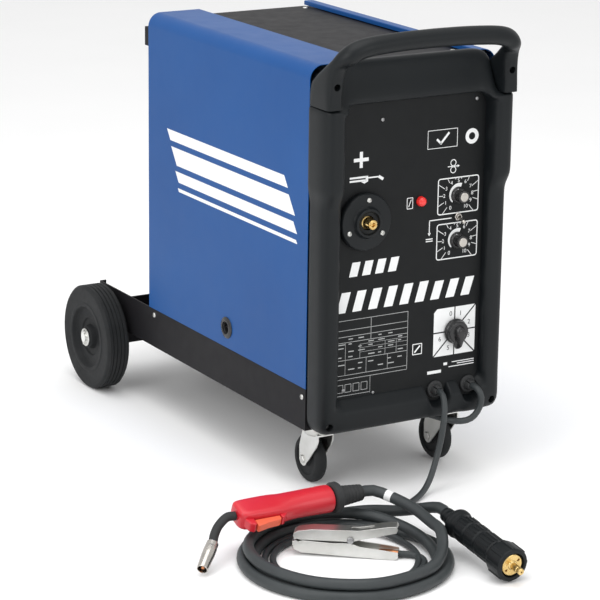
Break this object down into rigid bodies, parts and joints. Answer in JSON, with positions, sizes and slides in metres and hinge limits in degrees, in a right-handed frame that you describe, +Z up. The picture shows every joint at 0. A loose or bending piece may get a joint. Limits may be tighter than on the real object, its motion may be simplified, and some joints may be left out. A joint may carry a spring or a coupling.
{
  "type": "wheeled mig welder",
  "caption": "Wheeled MIG welding machine: blue case on a black cylinder tray with rear wheels and front casters, front controls, torch, earth clamp and mains lead.",
  "frame": {"origin": "on the floor under the middle of the machine and torch, free cables left out", "axes": "+Y to the rear, +Z up, +X to the right as seen from the front"},
  "size_m": [0.7105, 1.3555, 0.7555],
  "materials": {
    "blue_paint": "satin powder coat",
    "black_paint": "satin powder coat",
    "black_plastic": "moulded, fine grain",
    "rubber": "moulded",
    "tyre": "ribbed solid rubber",
    "cable": "extruded cable jacket",
    "zinc": "zinc plated",
    "steel": "bare",
    "brass": "turned",
    "copper": "enamelled winding",
    "red_plastic": "satin",
    "orange_plastic": "satin"
  },
  "bodies": {
    "root": {"axle_bracket": "black_paint", "caster_left_plate": "zinc", "caster_right_plate": "zinc", "chassis_tray": "black_paint", "clamp_lower": "zinc", "cylinder_cradle": "black_paint", "divider": "zinc", "earth_cable": "cable", "earth_gland": "black_plastic", "fan_motor": "steel", "feed_motor": "black_plastic", "front_bezel": "black_plastic", "front_panel": "black_paint", "handle": "black_plastic", "mains_cable": "cable", "mains_clip": "zinc", "mains_coil": "cable", "mains_gland": "black_plastic", "mains_plug": "black_plastic", "mains_tail": "cable", "pilot_lamp": "red_plastic", "rear_axle": "zinc", "rear_panel": "black_paint", "rectifier": "steel", "side_cover": "blue_paint", "socket_barrel": "brass", "socket_flange": "black_plastic", "spool_hub": "black_plastic", "top_panel": "black_paint", "torch_cable_coil": "cable", "torch_cable_end": "cable", "torch_cable_start": "cable", "torch_cable_support": "rubber", "torch_grip": "red_plastic", "torch_neck": "rubber", "torch_nozzle": "zinc", "torch_plug_body": "black_plastic", "torch_plug_pin": "brass", "transformer_core": "steel", "transformer_winding": "copper"},
    "rear_wheel_left": {"rear_wheel_left": "tyre"},
    "rear_wheel_right": {"rear_wheel_right": "tyre"},
    "caster_left_swivel": {"caster_left_fork": "zinc"},
    "caster_right_swivel": {"caster_right_fork": "zinc"},
    "caster_left_wheel": {"caster_left_wheel": "rubber"},
    "caster_right_wheel": {"caster_right_wheel": "rubber"},
    "door": {"side_door": "blue_paint"},
    "door_latch": {"door_latch": "black_plastic"},
    "wire_speed_knob": {"wire_speed_knob": "black_plastic"},
    "spot_time_knob": {"spot_time_knob": "black_plastic"},
    "timer_toggle": {"timer_toggle": "zinc"},
    "power_switch": {"power_switch_knob": "black_plastic"},
    "trigger": {"torch_trigger": "orange_plastic"},
    "clamp_upper": {"clamp_upper": "zinc"},
    "plug_nut": {"torch_plug_nut": "black_plastic"},
    "wire_spool": {"wire_spool": "black_plastic"},
    "feed_roller": {"feed_roller": "steel"},
    "pressure_arm": {"pressure_arm": "black_plastic"},
    "pressure_roller": {"pressure_roller": "steel"},
    "fan": {"fan_blades": "black_plastic"}
  },
  "joints": [
    {"name": "rear_wheel_left_roll", "type": "hinge", "parent": "root", "child": "rear_wheel_left", "pos_m": [-0.0782, 0.4073, 0.094], "axis": [1, 0, 0], "continuous": true},
    {"name": "rear_wheel_right_roll", "type": "hinge", "parent": "root", "child": "rear_wheel_right", "pos_m": [0.3288, 0.4073, 0.094], "axis": [1, 0, 0], "continuous": true},
    {"name": "caster_left_swivel", "type": "hinge", "parent": "root", "child": "caster_left_swivel", "pos_m": [0.0043, -0.2357, 0.09], "axis": [0, 0, 1], "continuous": true},
    {"name": "caster_left_roll", "type": "hinge", "parent": "caster_left_swivel", "child": "caster_left_wheel", "pos_m": [0.0043, -0.2127, 0.04], "axis": [1, 0, 0], "continuous": true},
    {"name": "caster_right_swivel", "type": "hinge", "parent": "root", "child": "caster_right_swivel", "pos_m": [0.2463, -0.2357, 0.09], "axis": [0, 0, 1], "continuous": true},
    {"name": "caster_right_roll", "type": "hinge", "parent": "caster_right_swivel", "child": "caster_right_wheel", "pos_m": [0.2463, -0.2127, 0.04], "axis": [1, 0, 0], "continuous": true},
    {"name": "door_hinge", "type": "hinge", "parent": "root", "child": "door", "pos_m": [0.0518, -0.0092, 0.694], "axis": [0, 1, 0], "range_deg": [0, 95]},
    {"name": "door_latch_turn", "type": "hinge", "parent": "door", "child": "door_latch", "pos_m": [-0.0467, -0.0208, 0.2167], "axis": [1, 0, 0], "range_deg": [0, 90]},
    {"name": "wire_speed_turn", "type": "hinge", "parent": "root", "child": "wire_speed_knob", "pos_m": [0.2138, -0.3067, 0.4755], "axis": [0, 1, 0], "range_deg": [-150, 150]},
    {"name": "spot_time_turn", "type": "hinge", "parent": "root", "child": "spot_time_knob", "pos_m": [0.2138, -0.3067, 0.4015], "axis": [0, 1, 0], "range_deg": [-150, 150]},
    {"name": "timer_toggle_tilt", "type": "hinge", "parent": "root", "child": "timer_toggle", "pos_m": [0.2138, -0.3079, 0.4405], "axis": [-1, 0, 0], "range_deg": [0, 34]},
    {"name": "power_switch_turn", "type": "hinge", "parent": "root", "child": "power_switch", "pos_m": [0.2143, -0.3067, 0.2506], "axis": [0, 1, 0], "range_deg": [-180, 90]},
    {"name": "trigger_squeeze", "type": "hinge", "parent": "root", "child": "trigger", "pos_m": [-0.24156, -0.46262, 0.05375], "axis": [0.005, 0.3301, -0.9439], "range_deg": [0, 5], "stiffness_Nm_per_rad": 0.4},
    {"name": "clamp_open", "type": "hinge", "parent": "root", "child": "clamp_upper", "pos_m": [-0.1071, -0.5269, 0.0245], "axis": [0.6, 0.8, 0], "range_deg": [0, 14], "stiffness_Nm_per_rad": 2},
    {"name": "plug_nut_turn", "type": "hinge", "parent": "root", "child": "plug_nut", "pos_m": [0.03854, -0.71581, 0.03047], "axis": [-0.0133, -0.9939, -0.1093], "continuous": true},
    {"name": "wire_spool_turn", "type": "hinge", "parent": "root", "child": "wire_spool", "pos_m": [0.03415, 0.0513, 0.455], "axis": [1, 0, 0], "continuous": true},
    {"name": "feed_roller_turn", "type": "hinge", "parent": "root", "child": "feed_roller", "pos_m": [0.0363, -0.1837, 0.4371], "axis": [1, 0, 0], "continuous": true},
    {"name": "pressure_arm_lift", "type": "hinge", "parent": "root", "child": "pressure_arm", "pos_m": [0.0363, -0.1417, 0.4839], "axis": [-1, 0, 0], "range_deg": [0, 60]},
    {"name": "pressure_roller_turn", "type": "hinge", "parent": "pressure_arm", "child": "pressure_roller", "pos_m": [0.0363, -0.1837, 0.4659], "axis": [1, 0, 0], "continuous": true},
    {"name": "fan_turn", "type": "hinge", "parent": "root", "child": "fan", "pos_m": [0.1953, 0.2323, 0.42], "axis": [0, 1, 0], "continuous": true}
  ],
  "couplings": [
    {"joint": "pressure_roller_turn", "follows": "feed_roller_turn", "ratio": -1.3333}
  ]
}
